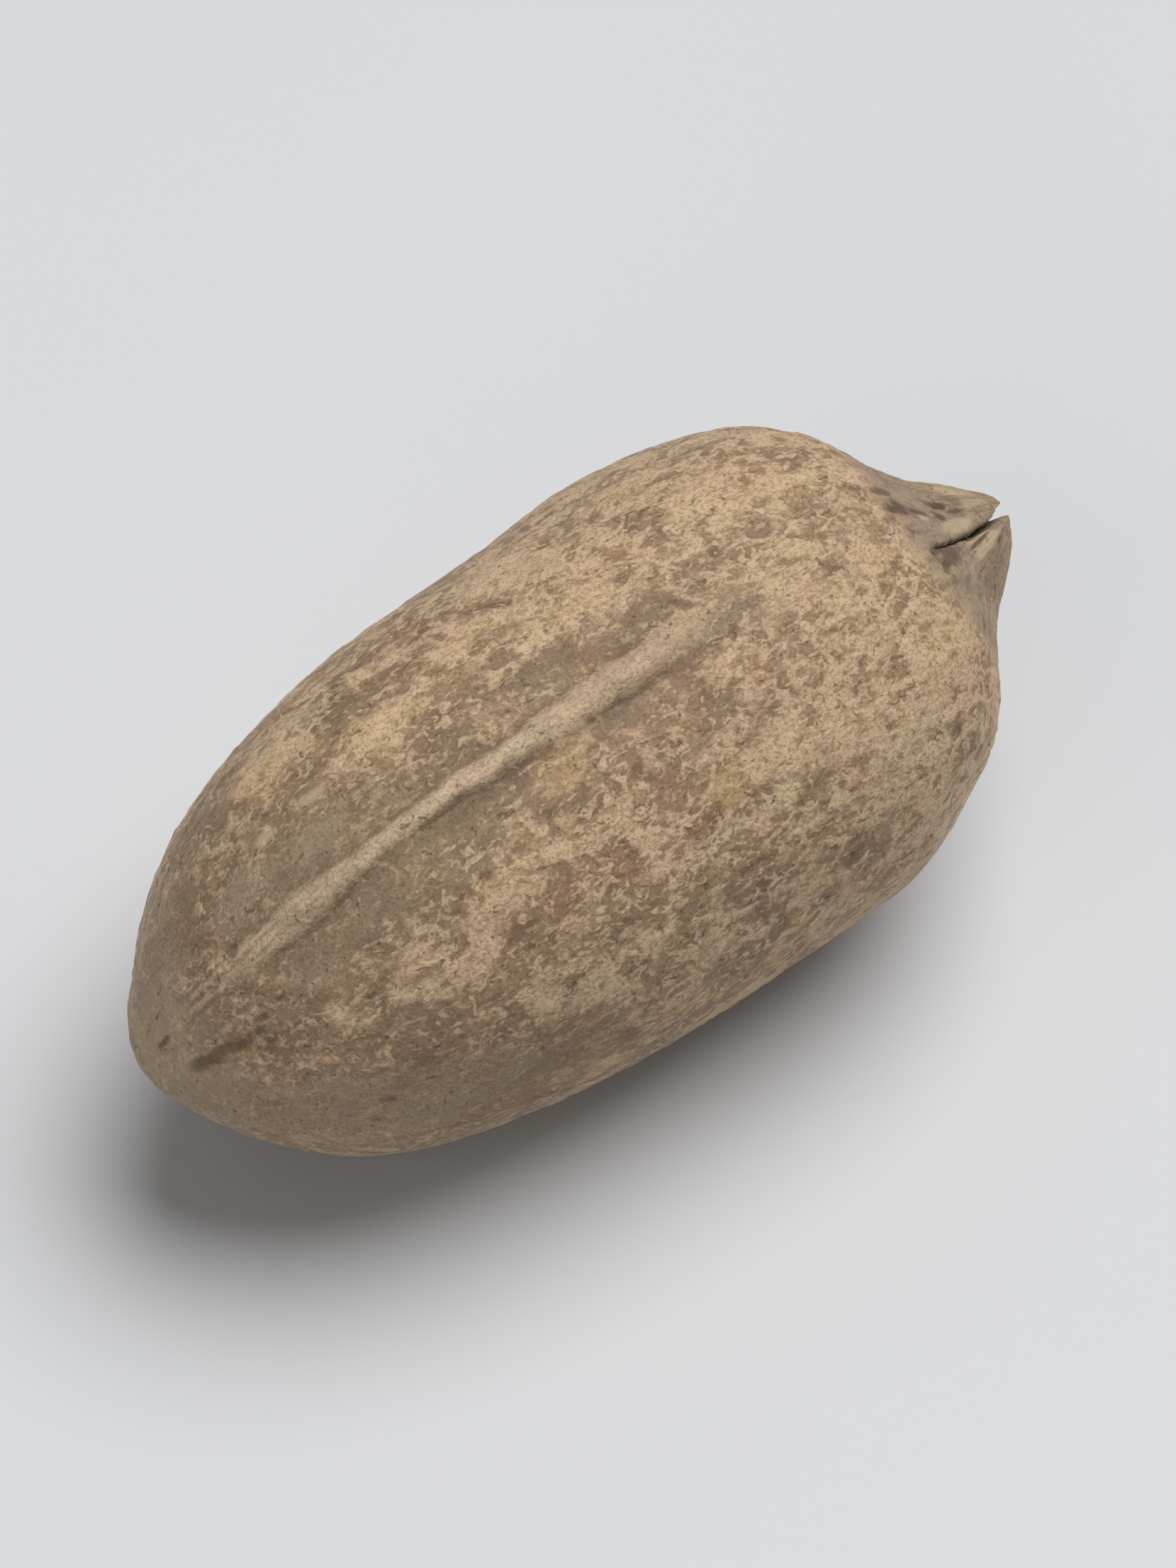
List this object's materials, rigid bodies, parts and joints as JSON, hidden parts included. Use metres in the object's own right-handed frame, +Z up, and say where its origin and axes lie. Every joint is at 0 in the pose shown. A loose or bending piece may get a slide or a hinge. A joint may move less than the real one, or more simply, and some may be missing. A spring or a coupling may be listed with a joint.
{
  "type": "pecan in shell",
  "caption": "Whole pecan nut in its closed shell: a long rounded form with a raised suture ridge, faint ribs and a split beak, lying on its side on a small flat spot.",
  "frame": {"origin": "centre of the bounding box's underside, on the surface that the nut lies on, under the nut's weight", "axes": "+X along the nut from its base towards its beak, +Z up, +Y to the left of the beak"},
  "size_m": [0.0484, 0.0232, 0.0232],
  "materials": {
    "shell": "dry matt nut shell, tan to grey-brown, with pale scurfy flecks and a dusty sheen"
  },
  "bodies": {
    "root": {"pecan_shell": "shell"}
  },
  "joints": []
}
